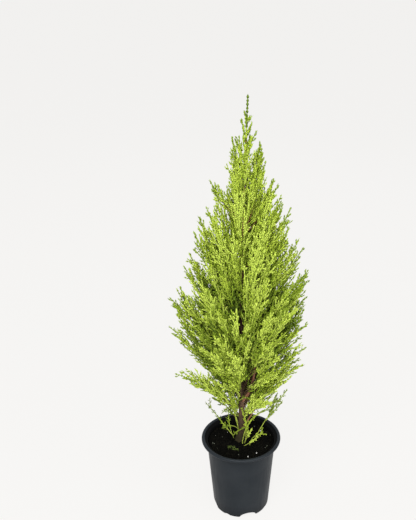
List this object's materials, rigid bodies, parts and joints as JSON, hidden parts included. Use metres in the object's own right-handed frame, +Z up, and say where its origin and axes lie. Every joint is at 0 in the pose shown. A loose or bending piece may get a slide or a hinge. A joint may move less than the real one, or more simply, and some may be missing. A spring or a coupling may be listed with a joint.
{
  "type": "potted cypress tree",
  "caption": "Young golden cypress with a narrow spire of feathery lime-green sprays on a slim trunk, standing in compost in a round black nursery pot.",
  "frame": {"origin": "middle of the pot's flat underside, on the surface that the pot stands on", "axes": "+Z up along the trunk, +X to the right as seen from the front, -Y towards the front"},
  "size_m": [0.2039, 0.2047, 0.682],
  "materials": {
    "pot_plastic": "satin",
    "compost": "matte",
    "bark": "matte",
    "green_twigs": "matte",
    "foliage": "matte"
  },
  "bodies": {
    "root": {"pot": "pot_plastic", "compost": "compost", "trunk": "bark", "second_stem": "bark", "bough_01": "bark", "bough_02": "bark", "bough_03": "bark", "bough_04": "bark", "bough_05": "bark", "bough_06": "bark", "bough_07": "bark", "bough_08": "bark", "bough_09": "bark", "bough_10": "bark", "bough_11": "bark", "bough_12": "bark", "bough_13": "bark", "bough_14": "bark", "bough_15": "bark", "bough_16": "bark", "bough_17": "bark", "bough_18": "bark", "bough_19": "bark", "bough_20": "bark", "bough_21": "bark", "bough_22": "bark", "bough_23": "bark", "bough_24": "bark", "basal_twig_1": "green_twigs", "basal_twig_2": "green_twigs", "basal_twig_3": "green_twigs", "foliage_01": "foliage", "foliage_02": "foliage", "foliage_03": "foliage", "foliage_04": "foliage", "foliage_05": "foliage", "foliage_06": "foliage", "foliage_07": "foliage", "foliage_08": "foliage", "foliage_09": "foliage", "foliage_10": "foliage", "foliage_11": "foliage", "foliage_12": "foliage", "foliage_13": "foliage", "foliage_14": "foliage", "foliage_15": "foliage", "foliage_16": "foliage", "foliage_17": "foliage", "foliage_18": "foliage", "foliage_19": "foliage", "foliage_20": "foliage", "foliage_21": "foliage", "foliage_22": "foliage", "foliage_23": "foliage", "foliage_24": "foliage", "basal_foliage_1": "foliage", "basal_foliage_2": "foliage", "basal_foliage_3": "foliage", "crown_tip": "foliage", "second_tip": "foliage"}
  },
  "joints": []
}
